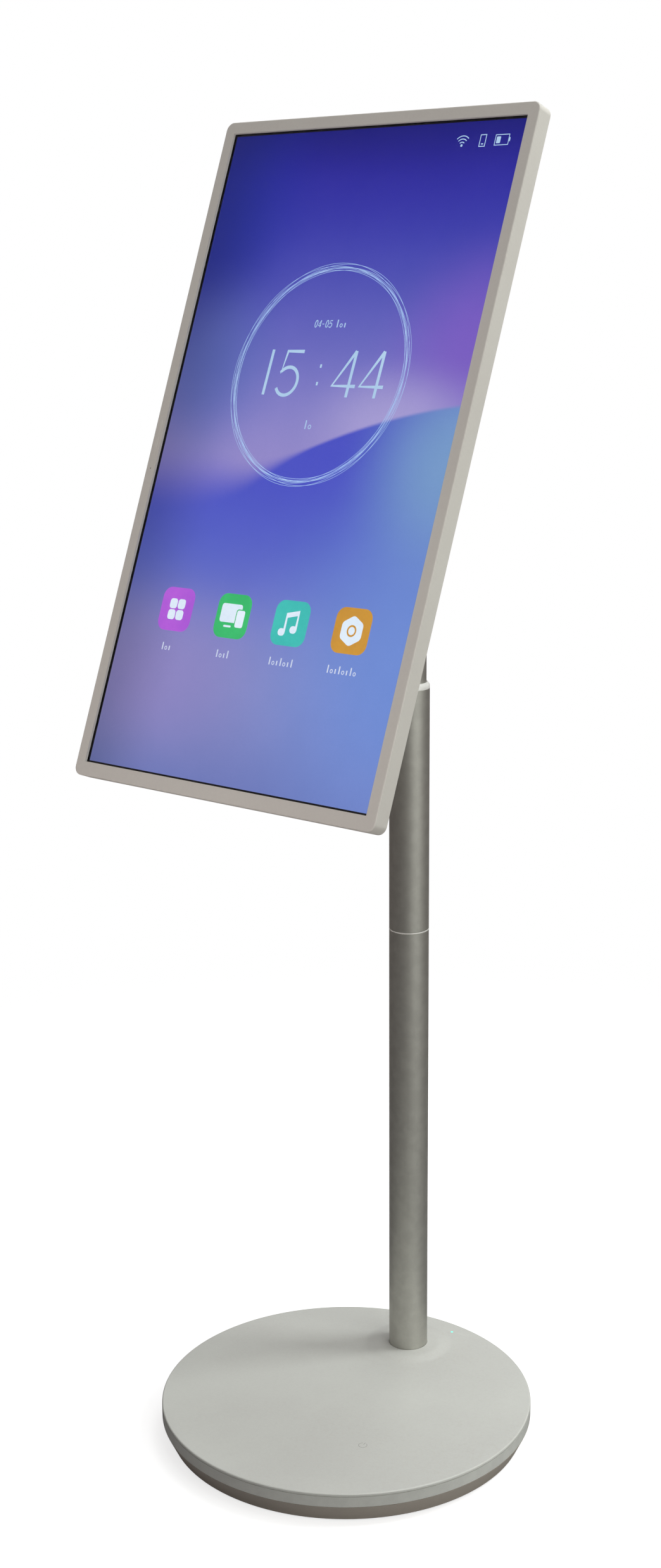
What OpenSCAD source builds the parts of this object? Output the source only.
// Smart display on a rolling floor stand: a portrait touch screen on a tilting, turning head,
// a two-stage pole that slides up and down, and a round base that hides a battery and five casters.
// The origin is on the floor under the centre of the base disc. +Z is up and the screen faces -Y.

/* [Base] */
// Diameter of the base disc
base_d = 363; // [302:1:440]
// Height of the flat top of the base above the floor
base_h = 32.5; // [30:0.5:45]
// Height of the split between the top cover and the lower shell
split_z = 18.9; // [16:0.1:24]
// Gap between the floor and the lower shell
ground_gap = 2; // [2:0.5:6]
// How far the lower shell tapers in from the rim to its underside
shell_taper = 8; // [4:0.5:14]
// Wall thickness of the cover and the lower shell
base_wall = 2.5; // [2:0.1:3.5]
// Thickness of the steel ballast plate
ballast_t = 8; // [6:0.5:10]
// Height of the raised collar that the cover forms round the pole
flare_h = 2.4; // [1:0.1:5]
// Width of that collar, measured outwards from the pole
flare_w = 28; // [15:1:40]
// Depth of the shadow line cut round the cover just under its rim
rim_groove = 0.4; // [0.2:0.1:1]

/* [Battery and electronics in the base] */
// Width of the battery tray
tray_w = 124; // [80:1:130]
// Depth of the battery tray, front to back
tray_d = 84; // [60:1:90]
// Height of the battery tray
tray_h = 13; // [9:0.5:14]
// Number of battery cells side by side
cell_n = 3; // [2:1:4]
// Width of the power board
power_board_w = 96; // [80:1:110]
// Depth of the power board, front to back
power_board_d = 26; // [22:1:30]
// Thickness of the circuit boards
board_t = 1.6; // [1:0.1:2]

/* [Casters] */
// Number of casters hidden in the base
caster_n = 5; // [5:1:5]
// Distance from the edge of the base to each caster's pin
caster_inset = 41.5; // [36:0.5:50]
// Diameter of a caster wheel
wheel_d = 20; // [16:0.5:20]
// Width of a caster wheel
wheel_w = 12; // [8:0.5:14]
// Distance that a wheel trails behind its pin
caster_trail = 7; // [4:0.5:8]
// Diameter of the upright caster pin
king_pin_d = 6; // [4:0.5:8]
// Diameter of a wheel axle
axle_d = 3; // [2:0.5:4]

/* [Pole] */
// Distance from the edge of the base to the pole's axis
pole_inset = 61.5; // [55:0.5:75]
// Outer diameter of the fixed pole
tube_d = 39; // [38:0.5:47]
// Wall thickness of the fixed pole
tube_wall = 2; // [1.5:0.1:2.5]
// Height of the seam between the pole's two lengths
seam_z = 481; // [400:1:580]
// Height of the top end of the fixed pole
pole_top_z = 725; // [680:1:870]
// Wall thickness of the steel liner that guides the mast's plug
liner_wall = 0.9; // [0.6:0.1:1]
// Outer diameter of the sliding mast
mast_d = 32.5; // [27:0.5:33]
// Wall thickness of the sliding mast
mast_wall = 1.5; // [1.2:0.1:2]
// How far the mast can sink from its present height
travel_down = 170; // [120:1:180]
// How far the mast can still rise
travel_up = 30; // [10:1:36]
// Length of the guide bush at the pole's mouth
bush_len = 55; // [40:1:66]
// Diameter of the gas spring's cylinder
gas_d = 21; // [18:0.5:21]
// Diameter of the gas spring's rod
rod_d = 8; // [6:0.5:10]
// Diameter of the power cord inside the pole
cord_d = 4.2; // [3:0.1:4.2]

/* [Head] */
// Distance from the pole's axis to the tilt hinge
arm_reach = 64; // [58:1:77]
// Diameter of the upright swivel spindle
spindle_d = 18; // [14:0.5:20]
// Diameter of the tilt hinge's pin
tilt_pin_d = 12; // [8:0.5:14]
// Outer diameter of the tilt hinge
hinge_d = 30; // [26:0.5:31]
// Length of the hinge barrel between the two ears
barrel_len = 28; // [22:0.5:34]
// Thickness of each ear of the tilt bracket
ear_t = 6; // [4:0.5:8]
// Distance from the tilt hinge to the front face of the display
hinge_to_face = 99; // [92:1:119]
// Diameter of the turning plate
turn_plate_d = 72; // [62:1:74]
// Diameter of the hollow shaft that the display turns on
turn_shaft_d = 28; // [24:0.5:32]

/* [Display] */
// Width of the opening that shows the screen
opening_w = 342; // [325:1:410]
// Height of the opening that shows the screen
opening_h = 604; // [503:1:725]
// Width of the bezel at the sides and the top
bezel = 11.3; // [9:0.1:14]
// Width of the bezel at the bottom
chin = 13.2; // [9:0.1:18]
// Depth of the frame from its front to its slim back
frame_t = 16.8; // [15:0.1:20.2]
// Outer corner radius of the frame
frame_corner = 8; // [6:0.5:14]
// Rounding of the frame's front and back edges
edge_r = 1.2; // [0.5:0.1:2]
// Wall thickness of the frame's sides
frame_wall = 2; // [1.6:0.1:2.5]
// Depth of the glass behind the bezel's front
glass_recess = 2.5; // [1.5:0.1:3]
// Thickness of the cover glass
glass_t = 1.5; // [1:0.1:2]
// Thickness of the LCD module
lcd_t = 6; // [5:0.1:7]
// Thickness of the steel chassis plate
chassis_t = 1; // [0.8:0.1:1.5]
// Width of the raised housing on the back
housing_w = 270; // [225:1:290]
// Height of the raised housing on the back
housing_h = 380; // [320:1:440]
// Depth of the whole display with its raised housing
housing_depth = 38.5; // [36:0.1:40]
// Wall thickness of the rear cover
rear_wall = 2; // [1.6:0.1:2.5]

/* [Buttons and sockets] */
// Width of a button's cap
button_w = 6; // [4:0.5:8]
// Length of a button's cap
button_l = 14; // [10:0.5:18]
// How far a button travels
button_travel = 0.8; // [0.4:0.1:0.8]
// Radius of the power inlet's socket
inlet_r = 2.8; // [2:0.05:3.2]
// Depth of the power inlet's socket
inlet_depth = 9; // [7:0.5:10]
// Height of the power inlet's axis above the floor
inlet_z = 11; // [10.5:0.1:12]
// Radius of the headphone socket
audio_r = 1.8; // [1.5:0.05:2]
// Depth of the headphone socket
audio_depth = 12; // [10:0.5:14]
// Length of the rectangular sockets
socket_len = 11; // [8:0.5:14]

/* [Rest position] */
// Turn of the head about the pole, as it stands
rest_swivel = -9.5; // [-65:0.5:65]
// Backward tilt of the display, as it stands
rest_tilt = 21.8; // [-15:0.1:25]
// Turn of the display in its own plane, as it stands
rest_turn = -1.3; // [-90:0.1:90]
// Directions in which the five wheels trail
caster_turns = [200, 130, 35, 290, 75];

/* [Hidden] */

$fn = 96;
eps = 0.05;             // overlap that makes a cut clean
gap = 0.3;              // space between neighbours that only sit side by side
fit = 0.05;             // radial clearance of a running fit
through = 200;          // length of a cut that goes right through

// Base
base_r = base_d / 2;
foot_r = base_r - shell_taper;
floor_top_z = ground_gap + base_wall;
cover_under_z = base_h - base_wall;
ballast_z = floor_top_z + 0.1;
ballast_top_z = ballast_z + ballast_t;
pole_y = base_r - pole_inset;
rim_r = 1.5;
groove_z = base_h - 2.2;
groove_h = 0.5;
lip_h = 3;
lens_r = 1.2;
lens_x = 27;
lens_inset = 15.4;
pad_at = [65, -74];
screw_ring_r = 0.42 * base_r;

// Battery, power board and inlet stand on the ballast plate
tray_wall = 1.6;
tray_z = ballast_top_z + 0.1;
power_board_y = -tray_d / 2 - 4 - power_board_d;
power_board_z = ballast_top_z + 3.1;
inlet_w = 14;
inlet_h = 11;
inlet_back = 22.5;
inlet_barrel_r = 4.6;
inlet_barrel_len = 5;
inlet_mouth_y = base_r - 6.2;
inlet_body_y = base_r - inlet_back;
inlet_body_d = foot_r - base_wall - 0.6 - inlet_body_y;

// Casters: the first one is at the front, and the pole stands between the two at the back
caster_r = base_r - caster_inset;
caster_step = 360 / caster_n;
well_r = caster_trail + wheel_d / 2 + 4.5;
socket_wall = 3;
fork_plate_r = 13;
fork_leg_t = 2;
fork_side_gap = 0.4;
socket_top_z = cover_under_z - 0.4;
fork_top_z = wheel_d + 4.4;
fork_plate_t = 2.4;
socket_roof_z = fork_top_z + 0.3;

// Pole
tube_r = tube_d / 2;
bore_r = tube_r - tube_wall;
flange_r = tube_r + 18.5;
flange_t = 8;
flange_bolt_r = 2.5;
flange_top_z = ballast_top_z + 0.1 + flange_t;
flange_screw_r = (flange_r + tube_r) / 2;
spigot_h = 30;
collar_h = 3;
collar_lip = 5;
seam_h = 1.2;
collar_top_z = pole_top_z + collar_h;
mast_r = mast_d / 2;
mast_bore_r = mast_r - mast_wall;
bush_z = pole_top_z - collar_lip - bush_len;
stop_gap = 6;
head_z = collar_top_z + travel_down + stop_gap;
spindle_flange_t = 4;
insert_len = 20;
mast_top_z = head_z - spindle_flange_t;
mast_low_z = bush_z - travel_up - 10;
plug_h = 18;
plug_low_z = mast_low_z - plug_h;
liner_r = bore_r - fit;
liner_bore_r = liner_r - liner_wall;
plug_r = liner_bore_r - fit;
liner_low_z = min(plug_low_z - travel_down - 6, seam_z - 40);

// Gas spring: the cylinder stands in the fixed pole and the rod carries the mast
gas_r = gas_d / 2;
rod_r = rod_d / 2;
gas_wall = 1;
gas_cap_t = 8;
gas_floor_t = 4;
piston_t = 8;
gas_top_z = plug_low_z - travel_down - stop_gap;
piston_z = gas_top_z - gas_cap_t - travel_up - 1 - piston_t;
gas_low_z = piston_z - travel_down - 1 - gas_floor_t;
bracket_t = 8;

// Cord inside the pole
cord_r = cord_d / 2;
coil_in_r = gas_r + 1.2;
coil_out_r = coil_in_r + cord_d;
cord_low_r = coil_out_r - cord_r;
cord_high_r = mast_bore_r - cord_r - gap;
coil_low_z = gas_low_z + 2;
coil_top_z = plug_low_z - gap;
cord_bend_r = 9;

// Swivel head, in a frame that stands on the pole's axis and turns with the arm
spindle_r = spindle_d / 2;
hub_h = 42;
hub_low_z = head_z + 0.4;
hub_top_z = hub_low_z + hub_h;
nut_seat_h = 31.5;
nut_seat_z = hub_low_z + nut_seat_h;
nut_r = spindle_r + 3.5;
stud_r = spindle_r - 3;
nut_t = 6;
cord_hole_r = cord_r + 1;
hinge_r = hinge_d / 2;
web_inset = 6;
web_r = (barrel_len - web_inset) / 2 + 6.5;
pivot_z = hub_low_z + 16.3;
cap_t = 5;

// Tilt bracket, in a frame at the hinge whose -Y points at the display
washer_t = 1.2;
ear_x = barrel_len / 2 + washer_t + 0.2;
ear_half_h = 20;
turn_plate_t = 6;
turn_gap = 6.5;
turn_plate_y = hinge_to_face - housing_depth - turn_gap;
shaft_r = turn_shaft_d / 2;
shaft_bore_r = shaft_r - 6;
turn_nut_t = 4;
turn_nut_r = shaft_r + 6;

// Display, in a frame at the centre of the screen opening: X right, Y to the back, Z up
frame_w = opening_w + 2 * bezel;
frame_low = -opening_h / 2 - chin;
frame_high = opening_h / 2 + bezel;
frame_h = frame_high - frame_low;
frame_mid = (frame_high + frame_low) / 2;
bezel_t = glass_recess - 0.1;
glass_lap = 3;
lcd_lap = 5;
chassis_lap = 6.5;
lcd_y = glass_recess + glass_t + 0.2;
chassis_y = lcd_y + lcd_t + 0.3;
chassis_back_y = chassis_y + chassis_t;
plate_y = frame_t - rear_wall;
housing_step_y = frame_t + 12;
housing_slope = 8;
housing_corner = 24;
pivot_plate_w = 110;
pivot_plate_t = 3.5;
shaft_hole_r = shaft_r + 6;
pivot_plate_y = housing_depth - rear_wall - 1.3 - pivot_plate_t;
post_r = 5;
post_at = pivot_plate_w / 2 - 9;
turn_reach = hinge_to_face - pivot_plate_y + turn_nut_t + 1.5 - turn_plate_y;
mic_x = -(opening_w + bezel) / 2;
mic_z = -22.5;
mic_r = 0.6;
hub_ring_r = turn_plate_d / 2 + 22;
hub_dish_r = turn_plate_d / 2 + 2;
hub_ring_t = 8;
board_y = chassis_back_y + 7;
board_edge_x = housing_w / 2 - rear_wall - 2;

// Sockets on the side wall of the raised housing: [height, width across, place along Z]
socket_list = [[15, 5.6, 24], [9, 3.3, 4], [9, 3.3, -12]];
socket_y = board_y + board_t + 3.2;
socket_face_x = -housing_w / 2;
audio_z = -28;
audio_body_r = 3;

// Rear buttons sit on the slim margin beside the raised housing
button_x = (housing_w + frame_w) / 4;
button_proud = button_travel + 0.1;
button_flange = 1;
button_flange_t = 0.8;
button_gap = 0.25;
button_flange_y = plate_y - 0.2 - button_flange_t;
button_at = [60, 30, 12];

// Rear cover fasteners
screw_r = 1.5;
screw_head_r = 2.8;
screw_head_t = 1.5;
screw_z = [frame_h / 2 - 40, 0, -(frame_h / 2 - 40)];

// ---- shared shapes -------------------------------------------------------------------------

// Points of an arc about centre c
function arc(c, r, a0, a1, n = 8) =
    [for (i = [0:n]) c + r * [cos(a0 + (a1 - a0) * i / n), sin(a0 + (a1 - a0) * i / n)]];

// A ring between two radii, standing on z
module ring(r_out, r_in, z, h) {
    translate([0, 0, z]) difference() {
        cylinder(r = r_out, h = h);
        translate([0, 0, -eps]) cylinder(r = r_in, h = h + 2 * eps);
    }
}

// A box given by its centre in X, its low corner in Y and its centre in Z
module slab(w, d, h, x = 0, y = 0, z = 0) {
    translate([x - w / 2, y, z - h / 2]) cube([w, d, h]);
}

// A cylinder that runs back along +Y from the given point
module rod_y(r, len, x = 0, y = 0, z = 0) {
    translate([x, y, z]) rotate([-90, 0, 0]) cylinder(r = r, h = len);
}

// A cylinder centred on the X axis
module rod_x(r, len) {
    rotate([0, 90, 0]) cylinder(r = r, h = len, center = true);
}

// A slab with round corners and rounded front and back edges, lying in the XZ plane
module soft_slab(w, h, y0, y1, corner, front_r, back_r) {
    hull() for (sx = [-1, 1], sz = [-1, 1])
        translate([sx * (w / 2 - corner), 0, sz * (h / 2 - corner)]) rotate([-90, 0, 0])
            rotate_extrude($fn = 32) polygon(concat([[0, y0]],
                arc([corner - front_r, y0 + front_r], front_r, -90, 0, 4),
                arc([corner - back_r, y1 - back_r], back_r, 0, 90, 4), [[0, y1]]));
}

// A slab whose corners are round and whose sides stand straight, lying in the XZ plane
module round_slab(w, h, y0, y1, corner) {
    rotate([90, 0, 0]) translate([0, 0, -y1]) linear_extrude(y1 - y0)
        polygon([for (q = [0:3], p = arc([(q == 0 || q == 3 ? 1 : -1) * (w / 2 - corner),
            (q < 2 ? 1 : -1) * (h / 2 - corner)], corner, q * 90, q * 90 + 90, 6)) p]);
}

// Frames of the moving assemblies, as they stand
module on_pole() { translate([0, pole_y, 0]) children(); }
module on_arm() { on_pole() rotate([0, 0, rest_swivel]) children(); }
module on_hinge() { on_arm() translate([0, -arm_reach, pivot_z]) rotate([-rest_tilt, 0, 0]) children(); }
module on_display() { on_hinge() translate([0, -hinge_to_face, 0]) rotate([0, rest_turn, 0]) children(); }
module on_caster(i) {
    rotate([0, 0, caster_step * i - 90]) translate([caster_r, 0, 0]) children();
}
module each_caster() { for (i = [0:caster_n - 1]) on_caster(i) children(); }

// ---- base ----------------------------------------------------------------------------------

module base_cover() {
    color("gainsboro") difference() {
        union() {
            rotate_extrude($fn = 180) polygon(concat([[0, cover_under_z]],
                [[base_r - base_wall, cover_under_z], [base_r - base_wall, split_z], [base_r, split_z]],
                [[base_r, groove_z - groove_h], [base_r - rim_groove, groove_z - groove_h],
                 [base_r - rim_groove, groove_z], [base_r, groove_z]],
                arc([base_r - rim_r, base_h - rim_r], rim_r, 0, 90, 4), [[0, base_h]]));
            on_pole() rotate_extrude() polygon(concat([[tube_r + gap - eps, base_h - eps]],
                [[tube_r + gap + flare_w, base_h - eps]],
                [for (i = [10:-1:0]) [tube_r + gap + flare_w * i / 10,
                    base_h + flare_h * pow(1 - i / 10, 2.2)]],
                [[tube_r + gap - eps, base_h + flare_h]]));
        }
        on_pole() translate([0, 0, cover_under_z - 1]) cylinder(r = tube_r + gap, h = 20);
        status_place() translate([0, 0, cover_under_z - 1]) cylinder(r = lens_r + fit, h = 20, $fn = 32);
    }
}

module base_shell() {
    lip_r = base_r - base_wall - gap;
    color("dimgray") difference() {
        rotate_extrude($fn = 180) polygon([[0, ground_gap], [foot_r, ground_gap],
            [base_r, split_z - gap], [lip_r, split_z - gap], [lip_r, split_z + lip_h],
            [lip_r - base_wall, split_z + lip_h], [lip_r - base_wall, split_z - gap],
            [foot_r - base_wall, floor_top_z], [0, floor_top_z]]);
        each_caster() translate([0, 0, ground_gap - 1]) cylinder(r = well_r, h = base_wall + 2);
        inlet_place() rod_y(inlet_barrel_r + gap, 40, y = -12);
        each_base_screw() translate([0, 0, ground_gap - 1]) cylinder(r = screw_r + 0.1, h = 10, $fn = 24);
        each_base_screw() translate([0, 0, ground_gap - 1])
            cylinder(r = screw_head_r + 0.2, h = 1 + screw_head_t, $fn = 24);
    }
}

module ballast_plate() {
    color("slategray") difference() {
        translate([0, 0, ballast_z]) cylinder(r = foot_r - base_wall - 3, h = ballast_t, $fn = 120);
        each_caster() translate([0, 0, ballast_z - 1]) cylinder(r = well_r, h = ballast_t + 2);
        translate([-inlet_w / 2 - 1, inlet_body_y - 1, ballast_z - 1])
            cube([inlet_w + 2, inlet_back + 10, ballast_t + 2]);
        each_base_screw() translate([0, 0, ballast_z - 1])
            cylinder(r = screw_r + fit, h = ballast_t + 2, $fn = 24);
        each_flange_screw() translate([0, 0, ballast_z - 1])
            cylinder(r = flange_bolt_r + fit, h = ballast_t + 2, $fn = 24);
    }
}

module battery_tray() {
    color("black") difference() {
        translate([-tray_w / 2, -tray_d / 2, tray_z]) cube([tray_w, tray_d, tray_h]);
        translate([-tray_w / 2 + tray_wall, -tray_d / 2 + tray_wall, tray_z + tray_wall])
            cube([tray_w - 2 * tray_wall, tray_d - 2 * tray_wall, tray_h]);
    }
}

module battery_cells() {
    pitch = (tray_w - 2 * tray_wall) / cell_n;
    color("silver") for (i = [0:cell_n - 1])
        translate([-tray_w / 2 + tray_wall + pitch * i + 1, -tray_d / 2 + tray_wall + 1,
            tray_z + tray_wall + 0.1])
            cube([pitch - 2, tray_d - 2 * tray_wall - 2, tray_h - tray_wall - 1]);
}

module power_board() {
    color("darkgreen") union() {
        translate([-power_board_w / 2, power_board_y, power_board_z])
            cube([power_board_w, power_board_d, board_t]);
        for (sx = [-1, 1], sy = [0, 1])
            translate([sx * (power_board_w / 2 - 5), power_board_y + 5 + sy * (power_board_d - 10),
                ballast_top_z + 0.1])
                cylinder(r = 2.5, h = power_board_z - ballast_top_z, $fn = 24);
        for (i = [0:3])
            translate([-38 + 22 * i, power_board_y + power_board_d / 2, power_board_z + board_t - eps])
                cylinder(r = 4.5, h = 7, $fn = 32);
        translate([-power_board_w / 2 + 72, power_board_y + 4, power_board_z + board_t - eps])
            cube([18, 16, 5]);
    }
}

module inlet_place() { translate([0, inlet_mouth_y, inlet_z]) children(); }

module power_inlet() {
    color("black") difference() {
        union() {
            translate([-inlet_w / 2, inlet_body_y, floor_top_z + 0.1])
                cube([inlet_w, inlet_body_d, inlet_h]);
            inlet_place() rod_y(inlet_barrel_r, inlet_barrel_len, y = -inlet_barrel_len);
        }
        inlet_place() rod_y(inlet_r, inlet_depth + eps, y = -inlet_depth);
    }
}

module status_place() {
    translate([lens_x, sqrt(pow(base_r - lens_inset, 2) - pow(lens_x, 2)), 0]) children();
}

module status_lens() {
    color("aquamarine") status_place() translate([0, 0, base_h - 5]) union() {
        cylinder(r = lens_r, h = 5, $fn = 32);
        cylinder(r = lens_r + 1, h = 5 - base_wall - 0.1, $fn = 32);
    }
}

// The touch key's sensor is stuck under the cover, and nothing of it moves
module touch_pad() {
    pad_t = 1.2;
    color("goldenrod") translate([pad_at.x, pad_at.y, cover_under_z - 0.1 - pad_t]) union() {
        cylinder(r = 11, h = pad_t);
        translate([-4, -19, 0]) cube([8, 12, pad_t]);
    }
}

module each_base_screw() {
    for (a = [0:60:359]) rotate([0, 0, a + 30]) translate([screw_ring_r, 0, 0]) children();
}
module each_flange_screw() {
    on_pole() for (a = [45:90:359]) rotate([0, 0, a]) translate([flange_screw_r, 0, 0]) children();
}

module base_screws() {
    color("silver") union() {
        each_base_screw() translate([0, 0, ground_gap]) difference() {
            union() {
                cylinder(r = screw_head_r, h = screw_head_t, $fn = 24);
                cylinder(r = screw_r, h = ballast_top_z - ground_gap - 0.5, $fn = 24);
            }
            translate([0, 0, -eps]) cylinder(r = 1.3, h = 1, $fn = 6);
        }
        each_flange_screw() difference() {
            union() {
                translate([0, 0, flange_top_z + 0.05]) cylinder(r = 4, h = 4, $fn = 32);
                translate([0, 0, ballast_z + 1])
                    cylinder(r = flange_bolt_r, h = flange_top_z - ballast_z, $fn = 32);
            }
            translate([0, 0, flange_top_z + 2]) cylinder(r = 2, h = 4, $fn = 6);
        }
    }
}

// ---- casters -------------------------------------------------------------------------------

module caster_sockets() {
    cup_r = well_r + socket_wall;
    color("darkgray") each_caster() difference() {
        translate([0, 0, ballast_top_z + 0.1]) cylinder(r = cup_r, h = socket_top_z - ballast_top_z - 0.1);
        translate([0, 0, ballast_top_z]) cylinder(r = well_r, h = socket_roof_z - ballast_top_z);
        translate([0, 0, socket_roof_z - 1]) cylinder(r = king_pin_d / 2 + fit, h = 20, $fn = 48);
    }
}

// Fork with its upright pin and its axle. The wheel trails along -X of the fork's own frame
module caster_fork(i) {
    leg_y = wheel_w / 2 + fork_side_gap;
    plate_z = fork_top_z - fork_plate_t;
    boss_r = 4;
    color("gray") on_caster(i) rotate([0, 0, caster_turns[i]]) union() {
        difference() {
            union() {
                translate([0, 0, plate_z]) cylinder(r = fork_plate_r, h = fork_plate_t);
                translate([0, 0, plate_z])
                    cylinder(r = king_pin_d / 2, h = socket_top_z - plate_z, $fn = 48);
                for (side = [-1, 1])
                    translate([0, side * (leg_y + fork_leg_t / 2) + fork_leg_t / 2, 0]) rotate([90, 0, 0])
                        linear_extrude(fork_leg_t) polygon(concat(
                            arc([-caster_trail, wheel_d / 2], boss_r, 180, 360, 12),
                            [[fork_plate_r - 5, plate_z + eps], [-caster_trail - boss_r, plate_z + eps]]));
            }
            translate([-caster_trail, 0, wheel_d / 2]) rotate([90, 0, 0])
                cylinder(r = axle_d / 2 + 0.1, h = 40, center = true, $fn = 32);
        }
        translate([-caster_trail, 0, wheel_d / 2]) rotate([90, 0, 0])
            cylinder(r = axle_d / 2, h = 2 * (leg_y + fork_leg_t), center = true, $fn = 32);
    }
}

module caster_wheel(i) {
    tread_r = 2;
    half_w = wheel_w / 2;
    color("dimgray") on_caster(i) rotate([0, 0, caster_turns[i]])
        translate([-caster_trail, 0, wheel_d / 2]) rotate([90, 0, 0])
            rotate_extrude($fn = 64) polygon(concat([[axle_d / 2 + fit, -half_w]],
                [[4.5, -half_w], [4.5, -half_w + 1], [6.5, -half_w + 1], [6.5, -half_w]],
                arc([wheel_d / 2 - tread_r, -half_w + tread_r], tread_r, -90, 0, 4),
                arc([wheel_d / 2 - tread_r, half_w - tread_r], tread_r, 0, 90, 4),
                [[6.5, half_w], [6.5, half_w - 1], [4.5, half_w - 1], [4.5, half_w],
                 [axle_d / 2 + fit, half_w]]));
}

// ---- fixed pole ----------------------------------------------------------------------------

module pole_flange() {
    spigot_in_r = bore_r - 3.5;
    color("silver") on_pole() difference() {
        union() {
            translate([0, 0, ballast_top_z + 0.1]) cylinder(r = flange_r, h = flange_t);
            translate([0, 0, flange_top_z - eps]) cylinder(r = bore_r - fit, h = spigot_h);
        }
        translate([-inlet_w / 2 - gap, inlet_body_y - pole_y - gap, ballast_top_z])
            cube([inlet_w + 2 * gap, flange_r, flange_t + 1]);
        translate([0, 0, ballast_top_z]) cylinder(r = spigot_in_r, h = through);
        translate([-cord_r - 1, -flange_r - 1, ballast_top_z]) cube([cord_d + 2, flange_r, cord_d + 1]);
        translate([-cord_r - 0.6, -cord_low_r - cord_bend_r, ballast_top_z])
            cube([cord_d + 1.2, cord_low_r + cord_bend_r, flange_t + 0.2]);
        translate([-cord_r - 0.6, -cord_low_r - cord_r - 0.6, ballast_top_z])
            cube([cord_d + 1.2, cord_low_r, through]);
        for (a = [45:90:359]) rotate([0, 0, a]) translate([flange_screw_r, 0, ballast_top_z])
            cylinder(r = flange_bolt_r + 0.1, h = flange_t + 2, $fn = 32);
    }
}

module lower_tube() {
    foot_z = flange_top_z + 0.1;
    color("lightgray") on_pole() ring(tube_r, bore_r, foot_z, seam_z - seam_h / 2 - foot_z);
}

module seam_ring() {
    color("whitesmoke") on_pole() ring(tube_r, bore_r, seam_z - seam_h / 2 + 0.02, seam_h - 0.04);
}

module upper_tube() {
    foot_z = seam_z + seam_h / 2;
    color("lightgray") on_pole() ring(tube_r, bore_r, foot_z, pole_top_z - collar_h - foot_z);
}

// The collar covers the end of the tube and narrows to the mast
module top_collar() {
    low_z = pole_top_z - collar_h + 0.02;
    mouth_r = mast_r + 0.35;
    color("whitesmoke") on_pole() rotate_extrude() polygon([[mouth_r, low_z], [tube_r, low_z],
        [tube_r, pole_top_z], [tube_r - 2, collar_top_z], [mouth_r, collar_top_z]]);
}

module guide_bush() {
    color("black") on_pole() ring(bore_r - fit, mast_r + fit, bush_z, bush_len);
}

module guide_liner() {
    color("silver") on_pole() ring(liner_r, liner_bore_r, liner_low_z, bush_z - gap - liner_low_z);
}

module spring_bracket() {
    color("gray") on_pole() difference() {
        translate([0, 0, gas_low_z - bracket_t]) cylinder(r = bore_r - fit, h = bracket_t - 0.1);
        translate([0, -cord_low_r, gas_low_z - bracket_t - 1])
            cylinder(r = cord_r + 0.3, h = bracket_t + 2, $fn = 32);
    }
}

module gas_cylinder() {
    color("dimgray") on_pole() difference() {
        translate([0, 0, gas_low_z]) cylinder(r = gas_r, h = gas_top_z - gas_low_z);
        translate([0, 0, gas_low_z + gas_floor_t])
            cylinder(r = gas_r - gas_wall, h = gas_top_z - gas_low_z - gas_floor_t - gas_cap_t);
        translate([0, 0, gas_top_z - gas_cap_t - 1]) cylinder(r = rod_r + fit, h = gas_cap_t + 2);
    }
}

// The cord comes along the base, bends up inside the flange and climbs to the coil
module cord_lower() {
    run_z = ballast_top_z + 0.2 + cord_r;
    run_y = pole_y - cord_low_r - cord_bend_r;
    start_y = tray_d / 2 + 3;
    color("black") union() {
        rod_y(cord_r, run_y - start_y, y = start_y, z = run_z);
        translate([0, run_y, run_z + cord_bend_r]) rotate([0, 90, 0]) rotate_extrude(angle = 90, $fn = 48)
            translate([cord_bend_r, 0]) circle(r = cord_r, $fn = 24);
        translate([0, run_y + cord_bend_r, run_z + cord_bend_r])
            cylinder(r = cord_r, h = coil_low_z - gap - run_z - cord_bend_r, $fn = 24);
    }
}

// Outer shape of the coiled stretch, which stretches and shortens as the mast slides
module cord_coil() {
    color("black") on_pole() ring(coil_out_r, coil_in_r, coil_low_z, coil_top_z - coil_low_z);
}

// ---- sliding mast --------------------------------------------------------------------------

module mast_tube() {
    color("lightgray") on_pole() ring(mast_r, mast_bore_r, mast_low_z, mast_top_z - mast_low_z);
}

module mast_plug() {
    insert_h = 12;
    color("black") on_pole() difference() {
        union() {
            translate([0, 0, plug_low_z]) cylinder(r = plug_r, h = plug_h);
            translate([0, 0, mast_low_z - eps]) cylinder(r = mast_bore_r - fit, h = insert_h);
        }
        translate([0, 0, plug_low_z - 1]) cylinder(r = rod_r + 0.02, h = plug_h - 4);
        translate([0, -cord_high_r, plug_low_z - 1])
            cylinder(r = cord_r + 0.2, h = plug_h + insert_h + 2, $fn = 32);
        translate([-cord_r - 0.2, -plug_r - 1, plug_low_z - 1])
            cube([cord_d + 0.4, plug_r + 1 - cord_high_r, plug_h + insert_h + 2]);
    }
}

module gas_rod() {
    color("silver") on_pole() union() {
        translate([0, 0, piston_z]) cylinder(r = gas_r - gas_wall - fit, h = piston_t);
        translate([0, 0, piston_z]) cylinder(r = rod_r, h = plug_low_z + plug_h - 6 - piston_z);
    }
}

module cord_upper() {
    color("black") on_pole() translate([0, -cord_high_r, plug_low_z])
        cylinder(r = cord_r, h = mast_top_z - insert_len - 0.5 - plug_low_z, $fn = 24);
}

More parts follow.
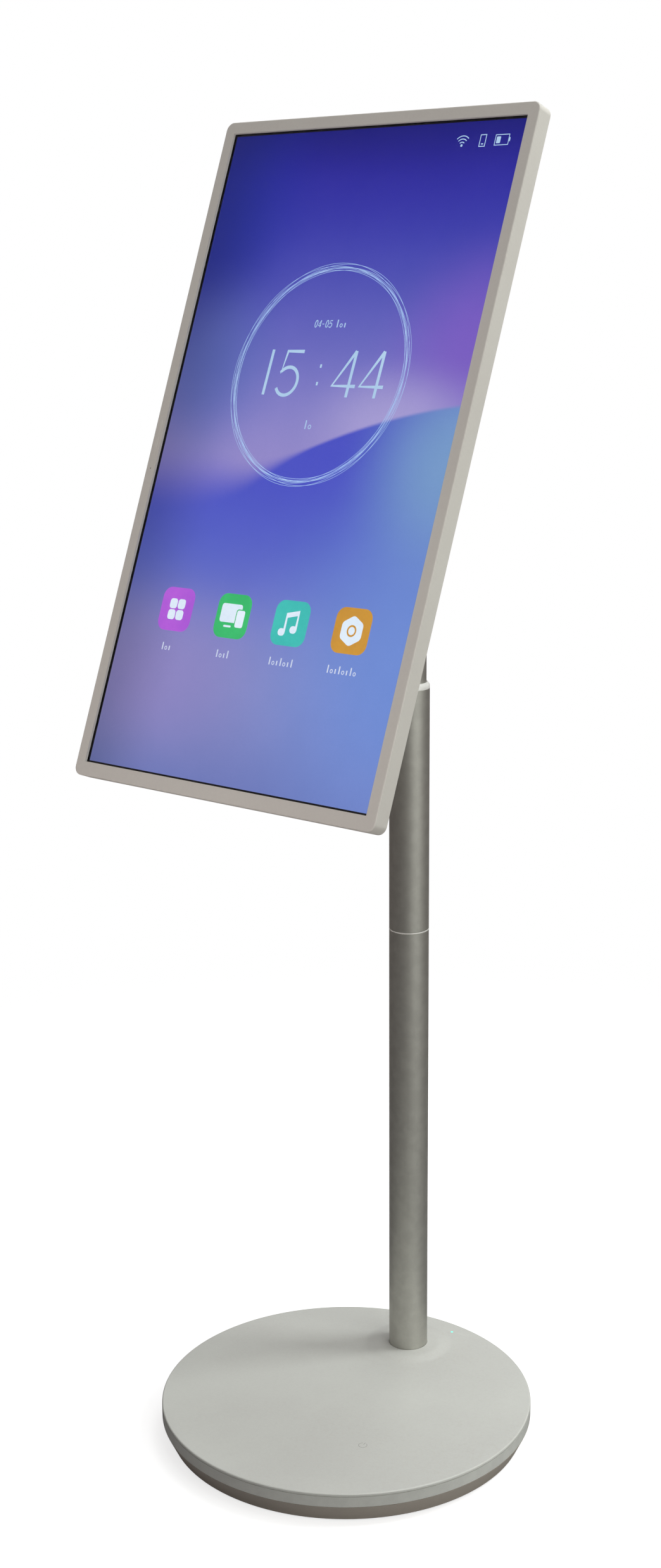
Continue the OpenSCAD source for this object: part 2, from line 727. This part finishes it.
module swivel_spindle() {
    color("silver") on_pole() difference() {
        union() {
            translate([0, 0, mast_top_z - insert_len]) cylinder(r = mast_bore_r - fit, h = insert_len + 1);
            translate([0, 0, mast_top_z + 0.02]) cylinder(r = mast_r, h = spindle_flange_t);
            translate([0, 0, head_z - 1]) cylinder(r = spindle_r, h = nut_seat_z - head_z + 1);
            translate([0, 0, head_z]) cylinder(r = stud_r, h = nut_seat_z + nut_t + 1 - head_z);
        }
        translate([0, 0, mast_top_z - insert_len - 1]) cylinder(r = cord_hole_r, h = 200, $fn = 48);
    }
}

module spindle_nut() {
    color("silver") on_pole() difference() {
        translate([0, 0, nut_seat_z + 0.3]) cylinder(r = nut_r, h = nut_t, $fn = 6);
        translate([0, 0, nut_seat_z]) cylinder(r = stud_r + 0.02, h = nut_t + 2);
    }
}

// ---- swivel arm ----------------------------------------------------------------------------

module swivel_arm() {
    color("lightgray") on_arm() difference() {
        union() {
            translate([0, 0, hub_low_z]) cylinder(r = tube_r, h = hub_h);
            hull() {
                translate([0, 0, hub_low_z + 1]) cylinder(r = web_r, h = hub_h - 8, $fn = 64);
                translate([0, -arm_reach, pivot_z]) rod_x(hinge_r - 0.5, barrel_len - web_inset, $fn = 64);
            }
            translate([0, -arm_reach, pivot_z]) rod_x(hinge_r, barrel_len);
        }
        translate([0, 0, hub_low_z - 1]) cylinder(r = spindle_r + fit, h = hub_h + 2);
        translate([0, 0, nut_seat_z]) cylinder(r = nut_r + 1, h = hub_h);
        translate([0, -arm_reach, pivot_z]) rod_x(tilt_pin_d / 2 + fit, barrel_len + 10);
    }
}

module arm_cap() {
    plug_t = 2;
    color("whitesmoke") on_arm() union() {
        translate([0, 0, hub_top_z + 0.05]) rotate_extrude() polygon(concat([[0, 0], [tube_r, 0]],
            arc([tube_r - 3, cap_t - 3], 3, 0, 90, 6), [[0, cap_t]]));
        translate([0, 0, hub_top_z - plug_t]) ring(nut_r + 0.9, nut_r - 0.6, 0, plug_t + 0.1);
    }
}

// ---- tilt bracket --------------------------------------------------------------------------

module tilt_bracket() {
    color("gray") on_hinge() difference() {
        union() {
            for (side = [-1, 1])
                translate([side * (ear_x + ear_t / 2) - ear_t / 2, 0, 0]) rotate([90, 0, 90])
                    linear_extrude(ear_t) polygon(concat(arc([0, 0], hinge_r, -60, 60, 16),
                        [[-turn_plate_y + turn_plate_t - eps, ear_half_h],
                         [-turn_plate_y + turn_plate_t - eps, -ear_half_h]]));
            rod_y(turn_plate_d / 2, turn_plate_t, y = -turn_plate_y);
            rod_y(shaft_r, turn_reach + eps, y = -turn_plate_y - turn_reach);
        }
        rod_x(tilt_pin_d / 2 + fit, 100);
        rod_y(shaft_bore_r, 100, y = -turn_plate_y - 60);
    }
}

module tilt_pin() {
    half = ear_x + ear_t;
    head_t = 3;
    color("silver") on_hinge() union() {
        rod_x(tilt_pin_d / 2, 2 * half + 1);
        for (side = [-1, 1]) translate([side * (half + 0.2 + head_t / 2), 0, 0]) rod_x(hinge_r - 1, head_t);
    }
}

module friction_washers() {
    color("goldenrod") on_hinge() for (side = [-1, 1])
        translate([side * (barrel_len / 2 + 0.1 + washer_t / 2), 0, 0]) difference() {
            rod_x(hinge_r - 1.5, washer_t);
            rod_x(tilt_pin_d / 2 + 0.2, washer_t + 1);
        }
}

module turn_nut() {
    nut_y = -hinge_to_face + pivot_plate_y - 0.3 - turn_nut_t;
    color("silver") on_hinge() difference() {
        rod_y(turn_nut_r, turn_nut_t, y = nut_y);
        rod_y(shaft_r + 0.02, turn_nut_t + 2, y = nut_y - 1);
        for (a = [0:90:359]) rotate([0, a, 0])
            translate([turn_nut_r - 2, nut_y - 1, -2]) cube([4, turn_nut_t + 2, 4]);
    }
}

// ---- display -------------------------------------------------------------------------------

module front_frame() {
    inner_w = frame_w - 2 * frame_wall;
    inner_h = frame_h - 2 * frame_wall;
    color("gainsboro") on_display() difference() {
        translate([0, 0, frame_mid]) soft_slab(frame_w, frame_h, 0, frame_t, frame_corner, edge_r, edge_r);
        slab(opening_w, 20, opening_h, y = -5);
        translate([0, 0, frame_mid])
            round_slab(inner_w, inner_h, bezel_t, frame_t + 1, frame_corner - frame_wall);
        translate([mic_x, -1, mic_z]) rod_y(mic_r, 10, $fn = 24);
    }
}

module cover_glass() {
    color([0.15, 0.16, 0.2, 0.5]) on_display() difference() {
        slab(opening_w + 2 * glass_lap, glass_t, opening_h + 2 * glass_lap, y = glass_recess);
        for (sx = [-1, 1], sz = [-1, 1])
            translate([sx * (opening_w / 2 + glass_lap), glass_recess - 1, sz * (opening_h / 2 + glass_lap)])
                rotate([0, 45, 0]) slab(2, glass_t + 2, 2);
    }
}

// Backlit panel with the driver strip along its lower edge
module lcd_module() {
    strip_h = 9;
    color("midnightblue") on_display() union() {
        slab(opening_w + 2 * lcd_lap, lcd_t - 1.5, opening_h + 2 * lcd_lap, y = lcd_y);
        slab(opening_w + 2 * lcd_lap - 12, 1.6, opening_h + 2 * lcd_lap - 12 - strip_h,
            y = lcd_y + lcd_t - 1.6,
            z = strip_h / 2);
        slab(opening_w - 40, 1.6, strip_h - 3, y = lcd_y + lcd_t - 1.6,
            z = -opening_h / 2 - lcd_lap + strip_h - 2);
    }
}

module chassis_plate() {
    color("slategray") on_display() difference() {
        slab(opening_w + 2 * chassis_lap, chassis_t, opening_h + 2 * chassis_lap, y = chassis_y);
        each_rear_screw() rod_y(screw_r + fit, 20, y = chassis_y - 5, $fn = 24);
    }
}

// Bearing plate for the turning shaft, on four posts that stand on the chassis plate
module pivot_plate() {
    color("silver") on_display() difference() {
        union() {
            round_slab(pivot_plate_w, pivot_plate_w, pivot_plate_y, pivot_plate_y + pivot_plate_t, 12);
            for (sx = [-1, 1], sz = [-1, 1])
                rod_y(post_r, pivot_plate_y - chassis_back_y, x = sx * post_at, y = chassis_back_y + 0.1,
                    z = sz * post_at);
        }
        rod_y(shaft_r + fit, 60);
    }
}

module housing_shape(inset) {
    w = housing_w - 2 * inset;
    h = housing_h - 2 * inset;
    hull() {
        round_slab(w, h, plate_y - eps, housing_step_y, housing_corner - inset);
        round_slab(w - 2 * housing_slope, h - 2 * housing_slope, plate_y, housing_depth - inset,
            housing_corner - inset - housing_slope / 2);
    }
}

module rear_cover() {
    vent_n = 22;
    vent_pitch = 9;
    grille_n = 16;
    grille_pitch = 5;
    margin = frame_wall + gap;
    color("gainsboro") on_display() difference() {
        union() {
            translate([0, 0, frame_mid]) round_slab(frame_w - 2 * margin, frame_h - 2 * margin,
                plate_y, frame_t,
                frame_corner - frame_wall);
            housing_shape(0);
        }
        translate([0, -1, 0]) intersection() {
            housing_shape(rear_wall);
            slab(frame_w, housing_depth, frame_h, y = 0);
        }
        round_slab(housing_w - 2 * rear_wall, housing_h - 2 * rear_wall, plate_y - 1,
            housing_step_y - rear_wall, housing_corner - rear_wall);
        rod_y(shaft_hole_r, 60);
        for (i = [0:vent_n - 1])
            slab(3, 20, 16, x = (i - (vent_n - 1) / 2) * vent_pitch, y = housing_depth - 10,
                z = housing_h / 2 - 28);
        for (side = [-1, 1], i = [0:grille_n - 1])
            slab(2, 20, 12, x = side * (36 + i * grille_pitch), y = housing_depth - 10,
                z = -housing_h / 2 + 24);
        each_button() slab(button_w + 2 * button_gap, 20, button_l + 2 * button_gap, y = plate_y - 5);
        each_rear_screw() rod_y(screw_r + 0.1, 20, y = plate_y - 5, $fn = 24);
        each_rear_screw() rod_y(screw_head_r + 0.2, 20, y = frame_t - screw_head_t, $fn = 32);
        each_rect_socket() slab(40, $socket_t + 0.4, $socket_h + 0.4, y = -$socket_t / 2 - 0.2);
        audio_place() rotate([0, 90, 0]) cylinder(r = audio_body_r + 0.2, h = 40, center = true, $fn = 48);
    }
}

// Dished ring that hides the bearing and stays with the display
module hub_ring() {
    floor_t = 1.5;
    color("gainsboro") on_display() translate([0, housing_depth + 0.05, 0]) rotate([-90, 0, 0])
        rotate_extrude($fn = 128) polygon([[shaft_r + 1.5, 0], [hub_ring_r, 0], [hub_ring_r, hub_ring_t - 4],
            [hub_ring_r - 3, hub_ring_t], [hub_dish_r, hub_ring_t], [hub_dish_r, floor_t],
            [shaft_r + 1.5, floor_t]]);
}

module main_board() {
    board_w = 66;
    board_h = 150;
    board_x = -board_edge_x + board_w / 2;
    board_z = -15;
    color("darkgreen") on_display() union() {
        slab(board_w, board_t, board_h, x = board_x, y = board_y, z = board_z);
        slab(34, 3, 34, x = board_x + 8, y = board_y + board_t - eps, z = board_z + 40);
        slab(22, 2.4, 40, x = board_x + 14, y = board_y + board_t - eps, z = board_z - 40);
        for (sx = [-1, 1], sz = [-1, 1])
            rod_y(3, board_y - chassis_back_y, x = board_x + sx * (board_w / 2 - 5), y = chassis_back_y + 0.1,
                z = board_z + sz * (board_h / 2 - 5));
    }
}

module driver_board() {
    board_w = 52;
    board_h = 120;
    board_x = board_edge_x - board_w / 2;
    color("darkgreen") on_display() union() {
        slab(board_w, board_t, board_h, x = board_x, y = board_y);
        for (i = [0:3]) rod_y(5, 9, x = board_x - 10, y = board_y + board_t - eps, z = -42 + 24 * i);
        slab(20, 8, 30, x = board_x + 12, y = board_y + board_t - eps, z = 20);
        for (sx = [-1, 1], sz = [-1, 1])
            rod_y(3, board_y - chassis_back_y, x = board_x + sx * (board_w / 2 - 5), y = chassis_back_y + 0.1,
                z = sz * (board_h / 2 - 5));
    }
}

module speakers() {
    box_w = 92;
    box_h = 26;
    box_d = 14;
    box_y = chassis_back_y + 2;
    color("black") on_display() for (side = [-1, 1])
        translate([side * (28 + box_w / 2), 0, -housing_h / 2 + 30]) difference() {
            slab(box_w, box_d, box_h, y = box_y);
            translate([-side * 18, 0, 0]) rod_y(10, 6, y = box_y + box_d - 3);
        }
}

module each_rect_socket() {
    for (s = socket_list) {
        $socket_h = s[0];
        $socket_t = s[1];
        translate([socket_face_x, socket_y, s[2]]) children();
    }
}
module audio_place() { translate([socket_face_x, socket_y, audio_z]) children(); }

module rear_sockets() {
    shell_t = 0.6;
    tongue_t = 0.8;
    color("silver") on_display() union() {
        each_rect_socket() difference() {
            slab(socket_len, $socket_t, $socket_h, x = socket_len / 2, y = -$socket_t / 2);
            difference() {
                slab(2 * socket_len - 3, $socket_t - 2 * shell_t, $socket_h - 2 * shell_t,
                    y = -$socket_t / 2 + shell_t);
                slab(2 * socket_len, tongue_t, $socket_h - 3, x = socket_len + 1, y = -tongue_t / 2);
            }
        }
        audio_place() difference() {
            rotate([0, 90, 0]) cylinder(r = audio_body_r, h = audio_depth + 2, $fn = 48);
            translate([-1, 0, 0]) rotate([0, 90, 0]) cylinder(r = audio_r, h = audio_depth + 1, $fn = 48);
        }
    }
}

module each_rear_screw() {
    for (side = [-1, 1], z = screw_z)
        translate([side * button_x, 0, frame_mid + z]) children();
}

module rear_screws() {
    color("silver") on_display() each_rear_screw() difference() {
        union() {
            rod_y(screw_head_r, screw_head_t - 0.1, y = frame_t - screw_head_t, $fn = 32);
            rod_y(screw_r, frame_t - screw_head_t - chassis_y + eps, y = chassis_y, $fn = 24);
        }
        rod_y(1.3, 3, y = frame_t - 0.9, $fn = 6);
    }
}

// ---- buttons -------------------------------------------------------------------------------

module each_button() { for (z = button_at) translate([button_x, 0, z]) children(); }

module button(k) {
    cap_len = frame_t + button_proud - button_flange_y;
    color("whitesmoke") on_display() translate([button_x, 0, button_at[k]]) union() {
        round_slab(button_w, button_l, button_flange_y, button_flange_y + cap_len, button_w / 2 - 0.1);
        slab(button_w + 2 * button_flange, button_flange_t, button_l + 2 * button_flange,
            y = button_flange_y);
    }
}

base_cover();
base_shell();
ballast_plate();
battery_tray();
battery_cells();
power_board();
power_inlet();
status_lens();
touch_pad();
base_screws();
caster_sockets();
caster_fork(0);  // caster_fork_1
caster_fork(1);  // caster_fork_2
caster_fork(2);  // caster_fork_3
caster_fork(3);  // caster_fork_4
caster_fork(4);  // caster_fork_5
caster_wheel(0);  // caster_wheel_1
caster_wheel(1);  // caster_wheel_2
caster_wheel(2);  // caster_wheel_3
caster_wheel(3);  // caster_wheel_4
caster_wheel(4);  // caster_wheel_5
pole_flange();
lower_tube();
seam_ring();
upper_tube();
top_collar();
guide_bush();
guide_liner();
spring_bracket();
gas_cylinder();
cord_lower();
cord_coil();
mast_tube();
mast_plug();
gas_rod();
cord_upper();
swivel_spindle();
spindle_nut();
swivel_arm();
arm_cap();
tilt_bracket();
tilt_pin();
friction_washers();
turn_nut();
front_frame();
cover_glass();
lcd_module();
chassis_plate();
pivot_plate();
rear_cover();
hub_ring();
main_board();
driver_board();
speakers();
rear_sockets();
rear_screws();
button(0);  // power_button
button(1);  // volume_up_button
button(2);  // volume_down_button
